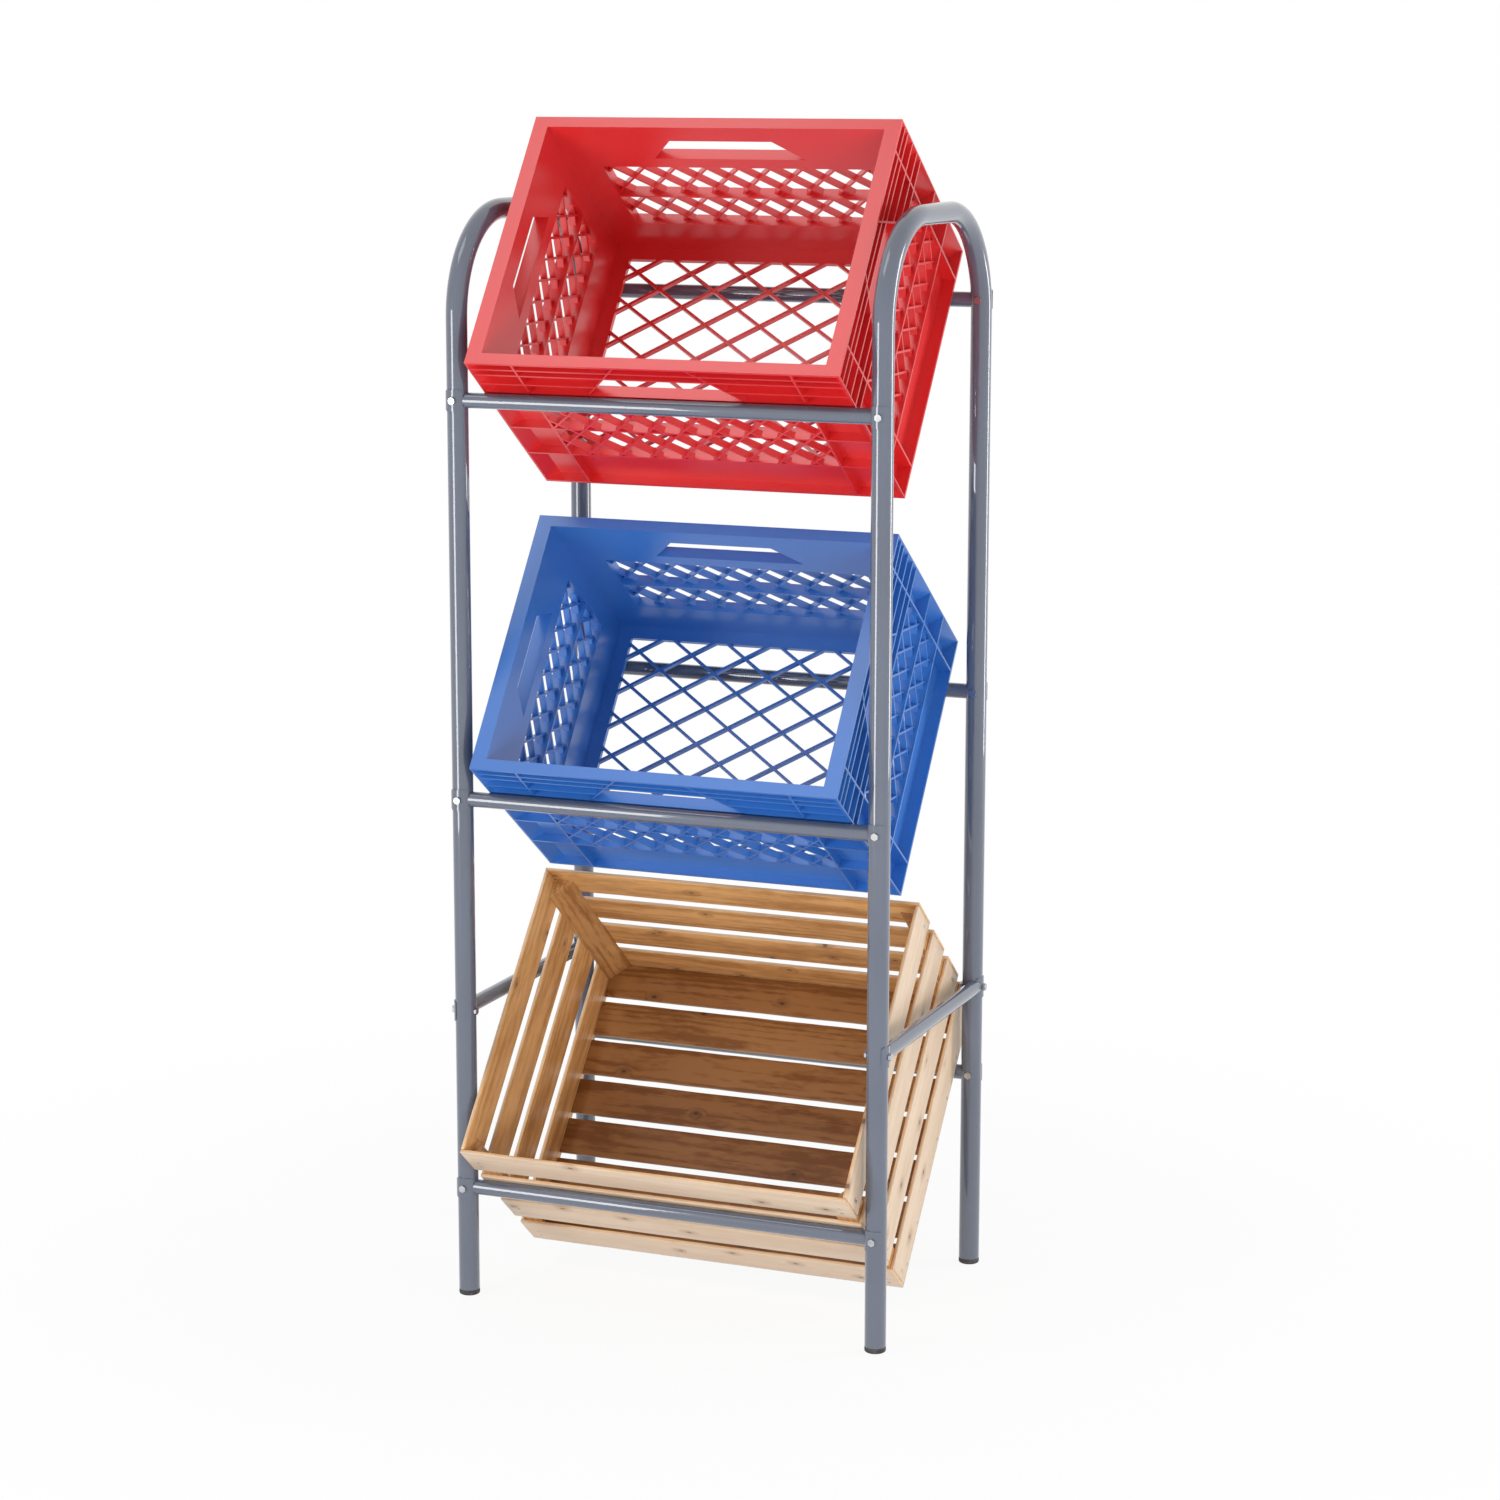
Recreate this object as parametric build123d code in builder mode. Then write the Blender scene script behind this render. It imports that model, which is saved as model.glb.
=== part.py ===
from build123d import *

import os
from math import atan2, ceil, cos, degrees, hypot, radians, sin, sqrt

# Rack tubes, in millimetres. +Z is up, the customer stands on the -Y side.
leg_diameter = 22.0
leg_wall = 1.5
bar_diameter = 16.0
bar_wall = 1.2
rack_depth = 297.4
hoop_bend_radius = 106.0
hoop_rise = 94.0
bar_rise = 94.4
side_bar_height = 310.3
side_bar_offset = 3.7

# Room around the crates
crate_side_play = 4.1
seat_clearance = 0.3
floor_gap = 23.1
wood_headroom = 20.4
draw_gap = 37.9

# Saddle plates and fasteners
saddle_thickness = 1.3
saddle_height = 22.0
saddle_wrap = 105.0
bolt_diameter = 4.0
bolt_clearance = 0.25
bolt_tail = 0.3
head_flats = 7.0
head_height = 2.8
head_chamfer_angle = 30.0
nut_height = 2.2
nut_clearance = 0.1

# Foot caps
foot_height = 6.0
foot_chamfer = 1.2
foot_stem_length = 16.0
foot_stem_clearance = 0.1

# Plastic crate
plastic_length = 400.0
plastic_breadth = 296.0
plastic_height = 236.5
plastic_tilt = 54.05
side_wall_depth = 12.2
end_wall_depth = 16.2
skin_thickness = 2.5
rib_thickness = 2.4
rim_thickness = 3.0
flange_thickness = 3.0
rim_rib_drops = (11.0, 21.3, 38.3, 55.0, 68.4)
grip_ceiling_rib = 1
grip_floor_rib = 3
middle_rail_height = 112.3
lower_rail_height = 60.7
side_post_inset = 51.0
end_post_inset = 36.0
side_lattice_pitch = 35.2
end_lattice_pitch = 26.2
lattice_rise = 36.1
lattice_node_height = 120.3
lattice_rib = 2.3
lattice_share = 0.6
side_grip_half_width = 35.6
side_grip_flare = 0.86
end_grip_half_width = 26.8
end_grip_flare = 0.63
base_height = 8.0
base_thickness = 5.0
base_border = 15.0
base_lattice_length = 62.6
base_lattice_breadth = 42.2
base_rib = 3.2

# Wooden crate
wood_length = 428.0
wood_breadth = 337.0
wood_tilt = 50.1
slat_height = 45.0
slat_gap = 17.0
slat_thickness = 4.0
slat_count = 4
post_leg = 22.5
post_drop = 20.0
board_count = 7
board_gap = 6.5
board_thickness = 4.0
board_rise = 4.0
nail_diameter = 1.8
nail_length = 15.0
nail_head_diameter = 4.2
nail_head_thickness = 0.5
nail_inset = 9.0
side_nail_spread = 11.0
end_nail_spread = 5.0

leg_radius = leg_diameter / 2
bar_radius = bar_diameter / 2
bolt_radius = bolt_diameter / 2
nail_radius = nail_diameter / 2
wood_height = slat_count * slat_height + (slat_count - 1) * slat_gap
rack_span = max(wood_length, plastic_length) + 2 * crate_side_play + leg_diameter

os.makedirs("parts", exist_ok=True)


def write(part, name):
    """Label a finished piece and write it under its own name."""
    part.label = name
    export_step(part, f"parts/{name}.step")


def write_seated(part, seat, name):
    """Write a crate piece, carried from the crate's own frame to its seat in the rack."""
    with BuildPart() as seated:
        with Locations(seat):
            add(part)
    write(seated.part, name)


# Seats of the crates


def seat_plane(front_height, breadth, tilt):
    """Underside of a crate whose front wall leans on the front bar and whose base lies on the rear bar."""
    back = Vector(0, cos(radians(tilt)), sin(radians(tilt)))
    up = Vector(0, -sin(radians(tilt)), cos(radians(tilt)))
    front_bar = Vector(0, -rack_depth / 2, front_height)
    rear_bar = Vector(0, rack_depth / 2, front_height + bar_rise)
    reach = bar_radius + seat_clearance
    origin = back * (front_bar.dot(back) + reach + breadth / 2) + up * (rear_bar.dot(up) + reach)
    return Plane(origin=origin, x_dir=(1, 0, 0), z_dir=up)


# The lowest edge of the wooden crate clears the floor by floor_gap.
wood_trial = seat_plane(0, wood_breadth, wood_tilt)
bottom_bar_height = floor_gap - wood_trial.from_local_coords((0, -wood_breadth / 2, 0)).Z
wood_seat = seat_plane(bottom_bar_height, wood_breadth, wood_tilt)

# The top rear edge of the wooden crate stays wood_headroom below the base of the middle crate.
wood_crest = wood_seat.from_local_coords((0, wood_breadth / 2, wood_height))
plastic_trial = seat_plane(0, plastic_breadth, plastic_tilt)
wood_crest_above = plastic_trial.to_local_coords(wood_crest).Z
middle_bar_height = (wood_crest_above + wood_headroom) / cos(radians(plastic_tilt))
blue_seat = seat_plane(middle_bar_height, plastic_breadth, plastic_tilt)

# The middle crate draws out forwards, draw_gap in front of the top crate.
blue_crest = blue_seat.from_local_coords((0, plastic_breadth / 2, plastic_height))
blue_crest_behind = plastic_trial.to_local_coords(blue_crest).Y
top_bar_height = (blue_crest_behind + plastic_breadth / 2 + draw_gap) / sin(radians(plastic_tilt))
red_seat = seat_plane(top_bar_height, plastic_breadth, plastic_tilt)

crown_height = top_bar_height + bar_rise + hoop_rise
tier_heights = {"top": top_bar_height, "middle": middle_bar_height, "bottom": bottom_bar_height}


# Hoops


def hoop_sweep(side, radius, bore):
    """Tube bent to an upside-down U over one front and one rear leg; bore 0 makes a solid rod."""
    x = side * rack_span / 2
    y = rack_depth / 2
    with BuildPart() as hoop:
        with BuildLine() as centre_line:
            FilletPolyline(
                (x, -y, foot_height),
                (x, -y, crown_height),
                (x, y, crown_height),
                (x, y, foot_height),
                radius=hoop_bend_radius,
            )
        with BuildSketch(Plane(origin=(x, -y, foot_height))):
            Circle(radius)
            if bore:
                Circle(bore, mode=Mode.SUBTRACT)
        sweep(path=centre_line.line)
    return hoop.part


def leg_lean(height):
    """How far the bend has carried the inner face of a leg inwards at a height."""
    radius = hoop_bend_radius - leg_radius
    above = max(0.0, height - (crown_height - hoop_bend_radius))
    return radius - sqrt(radius**2 - above**2)


def joint_plane(x, y, z, outward):
    """Bolt axis of one joint: origin on the leg's axis, normal pointing out through the saddle."""
    return Plane(origin=(x, y, z), x_dir=(0, 0, 1), z_dir=outward)


half_span = rack_span / 2
half_depth = rack_depth / 2
cross_bars = {}
for tier, height in tier_heights.items():
    cross_bars[f"front_bar_{tier}"] = (-1, height)
    cross_bars[f"rear_bar_{tier}"] = (1, height + bar_rise)
side_bars = {"side_bar_left": -1, "side_bar_right": 1}

joints = {}
for name, (end, height) in cross_bars.items():
    joints[name] = [
        joint_plane(side * half_span, end * half_depth, height, (0, end, 0)) for side in (-1, 1)
    ]
for name, side in side_bars.items():
    joints[name] = [
        joint_plane(side * half_span, end * half_depth, side_bar_height, (side, 0, 0)) for end in (-1, 1)
    ]
all_joints = [plane for planes in joints.values() for plane in planes]

hoop_rods = []
for side, name in ((-1, "left_hoop"), (1, "right_hoop")):
    hoop_rods.append(hoop_sweep(side, leg_radius, 0))
    with BuildPart() as hoop:
        add(hoop_sweep(side, leg_radius, leg_radius - leg_wall))
        with Locations(*[plane for plane in all_joints if plane.origin.X * side > 0]):
            Cylinder(bolt_radius + bolt_clearance, 2 * leg_diameter, mode=Mode.SUBTRACT)
    write(hoop.part, name)


# Bars and saddles

for name, (end, height) in cross_bars.items():
    bar_plane = Plane(origin=(-half_span, end * half_depth, height), x_dir=(0, 1, 0), z_dir=(1, 0, 0))
    with BuildPart() as bar:
        with BuildSketch(bar_plane):
            Circle(bar_radius)
            Circle(bar_radius - bar_wall, mode=Mode.SUBTRACT)
        extrude(amount=rack_span)
        for rod in hoop_rods:
            add(rod, mode=Mode.SUBTRACT)
    write(bar.part, name)

for name, side in side_bars.items():
    bar_x = side * (half_span + side_bar_offset)
    bar_plane = Plane(origin=(bar_x, -half_depth, side_bar_height), x_dir=(1, 0, 0), z_dir=(0, 1, 0))
    with BuildPart() as bar:
        with BuildSketch(bar_plane):
            Circle(bar_radius)
            Circle(bar_radius - bar_wall, mode=Mode.SUBTRACT)
        extrude(amount=rack_depth)
        with Locations(
            (side * half_span, -half_depth, side_bar_height), (side * half_span, half_depth, side_bar_height)
        ):
            Cylinder(leg_radius + saddle_thickness, 2 * bar_diameter, mode=Mode.SUBTRACT)
    write(bar.part, name)

for name, planes in joints.items():
    with BuildPart() as saddles:
        for plane in planes:
            foot = plane.origin - Vector(0, 0, saddle_height / 2)
            with BuildSketch(Plane(origin=foot, x_dir=plane.z_dir, z_dir=(0, 0, 1))):
                with BuildLine():
                    outer = CenterArc((0, 0), leg_radius + saddle_thickness, -saddle_wrap / 2, saddle_wrap)
                    inner = CenterArc((0, 0), leg_radius, -saddle_wrap / 2, saddle_wrap)
                    Line(outer @ 0, inner @ 0)
                    Line(outer @ 1, inner @ 1)
                make_face()
            extrude(amount=saddle_height)
        if name in cross_bars:
            with Locations(Plane(origin=(0, planes[0].origin.Y, planes[0].origin.Z), z_dir=(1, 0, 0))):
                Cylinder(bar_radius, rack_span, mode=Mode.SUBTRACT)
        with Locations(*planes):
            Cylinder(
                bolt_radius + bolt_clearance,
                leg_diameter,
                align=(Align.CENTER, Align.CENTER, Align.MIN),
                mode=Mode.SUBTRACT,
            )
    write(saddles.part, f"{name}_saddles")


# Bolts and nuts

head_seat = leg_radius + saddle_thickness
head_corner = head_flats / 2 / cos(radians(30))
head_chamfer = (head_corner - head_flats / 2) * sin(radians(head_chamfer_angle)) / cos(radians(head_chamfer_angle))


def nut_seat(plane):
    """Distance from the leg's axis to the nut; a leaning leg pushes the nut further in."""
    return leg_radius + leg_lean(plane.origin.Z + head_corner)


def hex_bolt(grip):
    """Bolt on the Z axis, head up, with the underside of its head at the origin."""
    with BuildPart() as bolt:
        with BuildSketch():
            RegularPolygon(radius=head_flats / 2, side_count=6, major_radius=False)
        extrude(amount=head_height)
        with BuildSketch(Plane.XZ):
            with BuildLine():
                Polyline(
                    (0, 0),
                    (head_corner, 0),
                    (head_corner, head_height - head_chamfer),
                    (head_flats / 2, head_height),
                    (0, head_height),
                    close=True,
                )
            make_face()
        revolve(axis=Axis.Z, mode=Mode.INTERSECT)
        with BuildSketch():
            Circle(bolt_radius)
        extrude(amount=-grip)
    return bolt.part


with BuildPart() as hex_bolts:
    for plane in all_joints:
        grip = head_seat + nut_seat(plane) + nut_height + bolt_tail
        with Locations(plane.offset(head_seat)):
            add(hex_bolt(grip))
write(hex_bolts.part, "hex_bolts")

with BuildPart() as hex_nuts:
    for plane in all_joints:
        with BuildSketch(plane.offset(-nut_seat(plane) - nut_height)):
            RegularPolygon(radius=head_flats / 2, side_count=6, major_radius=False)
            Circle(bolt_radius + nut_clearance, mode=Mode.SUBTRACT)
        extrude(amount=nut_height)
write(hex_nuts.part, "hex_nuts")


# Foot caps

for side, side_name in ((-1, "left"), (1, "right")):
    for end, end_name in ((-1, "front"), (1, "rear")):
        floor_plane = Plane(origin=(side * half_span, end * half_depth, 0))
        with BuildPart() as foot_cap:
            with BuildSketch(floor_plane):
                Circle(leg_radius)
            extrude(amount=foot_height)
            chamfer(foot_cap.edges().group_by(Axis.Z)[0], foot_chamfer)
            with BuildSketch(floor_plane.offset(foot_height)):
                Circle(leg_radius - leg_wall - foot_stem_clearance)
            extrude(amount=foot_stem_length)
        write(foot_cap.part, f"foot_cap_{end_name}_{side_name}")


# Plastic crate, made as the quarter with X positive and Y negative and mirrored twice

cavity_half_length = plastic_length / 2 - end_wall_depth
cavity_half_breadth = plastic_breadth / 2 - side_wall_depth
rib_tops = [plastic_height - drop for drop in rim_rib_drops]
window_top = rib_tops[-1] - rib_thickness
window_bottom = lower_rail_height
lattice_depth = lattice_share * side_wall_depth
lattice_recess = side_wall_depth - lattice_depth
grip_ceiling = rib_tops[grip_ceiling_rib] - rib_thickness
grip_floor = rib_tops[grip_floor_rib]


def diamond_centres(half_pitch_x, half_pitch_y, reach_x, low_y, high_y):
    """Middles of the gaps of a diagonal lattice with a crossing at the origin, from X = 0 out to reach_x."""
    columns = range(ceil(reach_x / half_pitch_x) + 1)
    rows = range(-ceil(-low_y / half_pitch_y) - 1, ceil(high_y / half_pitch_y) + 2)
    return [(i * half_pitch_x, j * half_pitch_y) for i in columns for j in rows if (i + j) % 2]


def diamond(half_pitch_x, half_pitch_y, rib):
    """Gap of a diagonal lattice: the cell between rib centre lines, drawn in by half a rib."""
    inset = rib / 2 * hypot(half_pitch_x, half_pitch_y) / (half_pitch_x * half_pitch_y)
    reach_x = half_pitch_x * (1 - inset)
    reach_y = half_pitch_y * (1 - inset)
    Polygon((reach_x, 0), (0, reach_y), (-reach_x, 0), (0, -reach_y), align=None, mode=Mode.SUBTRACT)


def grip_outline(half_width, flare, low, high):
    """Half of a hand hole that widens downwards, from the middle of the wall out to its slanted side."""
    return [
        (0, low),
        (half_width + (plastic_height - low) * flare, low),
        (half_width + (plastic_height - high) * flare, high),
        (0, high),
    ]


def half_wall(plane, half_width, depth, post_inset, pitch, grip_half_width, grip_flare, skin_half_width):
    """Half of one wall on its inner plane: skin flush inside, lattice set back from it, ribs at full depth."""
    post = half_width - post_inset
    grip = grip_outline(grip_half_width, grip_flare, grip_floor, grip_ceiling)
    cheek = grip_outline(grip_half_width, grip_flare, grip_floor, plastic_height)
    with BuildPart() as wall:
        with BuildSketch(plane):
            for top in rib_tops + [middle_rail_height, lower_rail_height]:
                with Locations((0, top)):
                    Rectangle(half_width, rib_thickness, align=(Align.MIN, Align.MAX))
            Polygon(*grip, align=None, mode=Mode.SUBTRACT)
            with Locations((0, plastic_height)):
                Rectangle(half_width, rim_thickness, align=(Align.MIN, Align.MAX))
            Rectangle(half_width, flange_thickness, align=(Align.MIN, Align.MIN))
            with Locations((post, 0)):
                Rectangle(rib_thickness, plastic_height, align=(Align.CENTER, Align.MIN))
            with BuildLine():
                Polyline(
                    cheek[1],
                    (cheek[1][0] + rib_thickness, cheek[1][1]),
                    (cheek[2][0] + rib_thickness, cheek[2][1]),
                    cheek[2],
                    close=True,
                )
            make_face()
        extrude(amount=depth)
        with BuildSketch(plane.offset(lattice_recess)):
            with Locations((0, window_bottom)):
                Rectangle(post, window_top - window_bottom, align=(Align.MIN, Align.MIN))
            low = window_bottom - lattice_node_height
            high = window_top - lattice_node_height
            for x, y in diamond_centres(pitch / 2, lattice_rise / 2, post, low, high):
                with Locations((x, lattice_node_height + y)):
                    diamond(pitch / 2, lattice_rise / 2, lattice_rib)
        extrude(amount=lattice_depth)
        with BuildSketch(plane):
            Rectangle(skin_half_width, plastic_height, align=(Align.MIN, Align.MIN))
            with Locations((0, window_bottom)):
                Rectangle(
                    post, window_top - window_bottom, align=(Align.MIN, Align.MIN), mode=Mode.SUBTRACT
                )
            Polygon(*grip, align=None, mode=Mode.SUBTRACT)
        extrude(amount=skin_thickness)
    return wall.part


side_half_wall = half_wall(
    Plane.XZ.offset(cavity_half_breadth),
    plastic_length / 2,
    side_wall_depth,
    side_post_inset,
    side_lattice_pitch,
    side_grip_half_width,
    side_grip_flare,
    cavity_half_length + skin_thickness,
)
end_half_wall = mirror(
    half_wall(
        Plane.YZ.offset(cavity_half_length),
        plastic_breadth / 2,
        end_wall_depth,
        end_post_inset,
        end_lattice_pitch,
        end_grip_half_width,
        end_grip_flare,
        cavity_half_breadth + skin_thickness,
    ),
    about=Plane.XZ,
    mode=Mode.PRIVATE,
)
base_half_length = cavity_half_length - base_border
base_half_breadth = cavity_half_breadth - base_border

with BuildPart() as moulding:
    add(side_half_wall)
    add(end_half_wall)
    with BuildSketch():
        with Locations((cavity_half_length, -cavity_half_breadth)):
            Rectangle(
                2 * hypot(end_wall_depth, side_wall_depth),
                rib_thickness,
                rotation=-degrees(atan2(side_wall_depth, end_wall_depth)),
                align=(Align.MIN, Align.CENTER),
            )
        Rectangle(plastic_length, plastic_breadth, mode=Mode.INTERSECT)
    extrude(amount=plastic_height)
    with BuildSketch(Plane.XY.offset(base_height)):
        Rectangle(
            cavity_half_length + skin_thickness,
            cavity_half_breadth + skin_thickness,
            align=(Align.MIN, Align.MAX),
        )
        Rectangle(base_half_length, base_half_breadth, align=(Align.MIN, Align.MAX), mode=Mode.SUBTRACT)
    extrude(amount=base_thickness)
    with BuildSketch(Plane.XY.offset(base_height)):
        Rectangle(base_half_length, base_half_breadth, align=(Align.MIN, Align.MAX))
        half_x = base_lattice_length / 2
        half_y = base_lattice_breadth / 2
        for x, y in diamond_centres(half_x, half_y, base_half_length, -base_half_breadth, 0):
            with Locations((x, y)):
                diamond(half_x, half_y, base_rib)
    extrude(amount=base_thickness)
    mirror(about=Plane.YZ)
    mirror(about=Plane.XZ)

for name, seat in (("red_crate", red_seat), ("blue_crate", blue_seat)):
    write_seated(moulding.part, seat, name)


# Wooden crate, in its own frame: X along, Y back, Z towards the opening

wood_half_length = wood_length / 2
wood_half_breadth = wood_breadth / 2
inner_half_length = wood_half_length - slat_thickness
inner_half_breadth = wood_half_breadth - slat_thickness
board_top = board_rise + board_thickness
board_width = (2 * inner_half_breadth - (board_count - 1) * board_gap) / board_count
slat_bottoms = [k * (slat_height + slat_gap) for k in range(slat_count)]
board_middles = [
    -inner_half_breadth + board_width / 2 + k * (board_width + board_gap) for k in range(board_count)
]
# On each slat the nails lie midway between the top of the base boards and the top of the posts.
nail_rise = (board_top + slat_height - post_drop) / 2
nail_levels = [bottom + nail_rise for bottom in slat_bottoms]
corners = {"front_left": (-1, -1), "front_right": (1, -1), "rear_left": (-1, 1), "rear_right": (1, 1)}


def side_nails(side, end, level):
    """Nails through a front or rear slat into one corner post, pointing out of the slat's face."""
    x = side * (inner_half_length - nail_inset)
    return [
        Plane(origin=(x, end * wood_half_breadth, level + up * side_nail_spread / 2), z_dir=(0, end, 0))
        for up in (-1, 1)
    ]


def end_nails(side, end, level):
    """Nails through a left or right slat into one corner post, pointing out of the slat's face."""
    y = end * (inner_half_breadth - nail_inset)
    return [
        Plane(origin=(side * wood_half_length, y, level + up * end_nail_spread / 2), z_dir=(side, 0, 0))
        for up in (-1, 1)
    ]


def board_nail(side, middle):
    """Nail through the lowest left or right slat into the end of a base board."""
    level = board_rise + board_thickness / 2
    return Plane(origin=(side * wood_half_length, middle, level), z_dir=(side, 0, 0))


def nail_holes(places):
    """Cut the shanks and sunk heads of the nails that pass through the piece being made."""
    hanging = (Align.CENTER, Align.CENTER, Align.MAX)
    with Locations(*places):
        Cylinder(nail_radius, nail_length, align=hanging, mode=Mode.SUBTRACT)
        Cylinder(nail_head_diameter / 2, nail_head_thickness, align=hanging, mode=Mode.SUBTRACT)


def slat(length, places, bottom, normal):
    """One wall slat lying against its outer face, with its nail holes."""
    face = wood_half_breadth if normal.Y else wood_half_length
    with BuildPart() as piece:
        with BuildSketch(Plane(origin=normal * face + Vector(0, 0, bottom), x_dir=(0, 0, 1), z_dir=normal)):
            Rectangle(slat_height, length, align=(Align.MIN, Align.CENTER))
        extrude(amount=-slat_thickness)
        nail_holes(places)
    return piece.part


all_nails = []
for number, (bottom, level) in enumerate(zip(slat_bottoms, nail_levels), 1):
    for end, end_name in ((-1, "front"), (1, "rear")):
        places = [plane for side in (-1, 1) for plane in side_nails(side, end, level)]
        all_nails += places
        piece = slat(wood_length, places, bottom, Vector(0, end, 0))
        write_seated(piece, wood_seat, f"{end_name}_slat_{number}")
    for side, side_name in ((-1, "left"), (1, "right")):
        places = [plane for end in (-1, 1) for plane in end_nails(side, end, level)]
        if number == 1:
            places += [board_nail(side, middle) for middle in board_middles]
        all_nails += places
        piece = slat(2 * inner_half_breadth, places, bottom, Vector(side, 0, 0))
        write_seated(piece, wood_seat, f"{side_name}_slat_{number}")

for corner, (side, end) in corners.items():
    places = []
    for level in nail_levels:
        places += side_nails(side, end, level) + end_nails(side, end, level)
    with BuildPart() as corner_post:
        with BuildSketch(Plane.XY.offset(board_top)):
            with Locations((side * inner_half_length, end * inner_half_breadth)):
                Polygon((0, 0), (-side * post_leg, 0), (0, -end * post_leg), align=None)
        extrude(amount=wood_height - post_drop - board_top)
        nail_holes(places)
    write_seated(corner_post.part, wood_seat, f"corner_post_{corner}")

for number, middle in enumerate(board_middles, 1):
    with BuildPart() as board:
        with BuildSketch(Plane.XY.offset(board_rise)):
            with Locations((0, middle)):
                Rectangle(2 * inner_half_length, board_width)
        extrude(amount=board_thickness)
        nail_holes([board_nail(side, middle) for side in (-1, 1)])
    write_seated(board.part, wood_seat, f"base_board_{number}")

# Flat-headed nail on the Z axis, with the top of its head at the origin
with BuildPart() as nail:
    with BuildSketch():
        Circle(nail_head_diameter / 2)
    extrude(amount=-nail_head_thickness)
    with BuildSketch():
        Circle(nail_radius)
    extrude(amount=-nail_length)

with BuildPart() as nails:
    with Locations(*all_nails):
        add(nail.part)
write_seated(nails.part, wood_seat, "nails")

for name, (end, height) in cross_bars.items():
    print(f"{name}: axis {height:.1f} mm above the floor")
print(f"leg axes {rack_span:.1f} mm apart, crown axis {crown_height:.1f} mm above the floor")
for name, seat in (("red", red_seat), ("blue", blue_seat), ("wood", wood_seat)):
    print(f"{name} crate base centre {tuple(seat.origin)}, lifts along {tuple(seat.z_dir)}")
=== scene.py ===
import math

import bpy
import numpy as np
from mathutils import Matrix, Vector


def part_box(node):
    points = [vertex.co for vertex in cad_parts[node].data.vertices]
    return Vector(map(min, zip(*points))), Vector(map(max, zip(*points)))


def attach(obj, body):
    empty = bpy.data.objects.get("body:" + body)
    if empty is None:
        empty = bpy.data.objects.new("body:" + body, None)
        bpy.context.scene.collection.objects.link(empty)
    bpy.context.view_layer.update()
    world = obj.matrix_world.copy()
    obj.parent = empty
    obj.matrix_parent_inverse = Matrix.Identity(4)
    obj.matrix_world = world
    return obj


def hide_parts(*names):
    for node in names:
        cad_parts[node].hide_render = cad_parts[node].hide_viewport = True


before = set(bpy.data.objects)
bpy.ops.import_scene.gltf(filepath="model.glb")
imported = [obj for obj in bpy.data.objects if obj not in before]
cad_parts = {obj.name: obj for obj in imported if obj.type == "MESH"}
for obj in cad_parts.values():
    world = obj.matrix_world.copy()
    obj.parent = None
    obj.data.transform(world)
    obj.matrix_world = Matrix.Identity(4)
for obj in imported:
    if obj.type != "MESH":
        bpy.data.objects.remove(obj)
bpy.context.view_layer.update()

# Sizes repeated from the part, in metres, with its angles and counts
HOOP_BEND = 0.106
SADDLE_THICKNESS = 0.0013
SADDLE_HEIGHT = 0.022
SADDLE_WRAP = math.radians(105)

WOOD_ORIGIN = np.array([0.0, 0.086919, 0.152367])
WOOD_TILT = math.radians(50.1)
WOOD_LENGTH = 0.428
WOOD_BREADTH = 0.337
SLAT_HEIGHT = 0.045
SLAT_GAP = 0.017
SLAT_THICKNESS = 0.004
SLAT_COUNT = 4
POST_LEG = 0.0225
POST_DROP = 0.020
BOARD_COUNT = 7
BOARD_GAP = 0.0065
BOARD_THICKNESS = 0.004
BOARD_RISE = 0.004
NAIL_RADIUS = 0.0009
NAIL_LENGTH = 0.015
NAIL_HEAD_RADIUS = 0.0021
NAIL_INSET = 0.009
SIDE_NAIL_SPREAD = 0.011
END_NAIL_SPREAD = 0.005

# Finer sizes of the visible meshes, in metres; an easing is (along the radius, along the axis)
SADDLE_CORNER = 0.003
SADDLE_PLAY = 0.0001
SOLE_EASING = (0.0030, 0.0020)
BRIM_EASING = (0.0010, 0.0008)
STEM_INSET = 0.0017
STEM_LENGTH = 0.014
ARRIS = 0.0007
BOARD_END_ROUNDING = 0.0007
POST_ROUNDING = 0.0009
EDGE_WANDER = 0.00022
FACE_WANDER_SHARE = 0.4
EDGE_WAVE_PITCH = (0.05, 0.17)
NAIL_TIP_CUT = 0.0002
NAIL_POINT = 0.002
NAIL_NECK = -0.0004
HEAD_UNDERSIDE = -0.0003
HEAD_EDGE = -0.00005
HEAD_CROWN = 0.00013

# Wood grain, in metres: pitch of the rings, and ranges of a board's place along, across and through its log
RING_PITCH = 0.0052
HEART_RANGES = ((0, 9), (-0.03, 0.03), (0.012, 0.07))

# Ranges of brownness: 0 for pale wood, 1 for the full brown; on the slats it is random tone, on the posts and
# base boards painted shade of the crate's inside
SLAT_BROWN = (0.0, 0.12)
POST_PAINTED_SHADE = (0.42, 0.55)
BASE_PAINTED_SHADE = (0.82, 0.95)

# Fineness of the meshes
TUBE_SIDES = 64
BEND_STATIONS = 25
BAR_STATIONS = 9
PLATE_ROWS = 15
PLATE_COLUMNS = 25
BOARD_STATIONS = 25
NAIL_SIDES = 14
CORNER_STEPS = 3
SMALL_CORNER_STEPS = 2

# Faces that meet at more than this many degrees keep a sharp edge
SHARP_ANGLE = 35
SAWN_SHARP_ANGLE = 50

# Depth of the bump that goes with a surface, in metres
BUMP_DEPTH = 0.0002
WOOD_BUMP_DEPTH = 0.0003

# Sides lie along X and ends along Y
SIDES = ((-1, "left"), (1, "right"))
ENDS = ((-1, "front"), (1, "rear"))
TIERS = ("top", "middle", "bottom")

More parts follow.
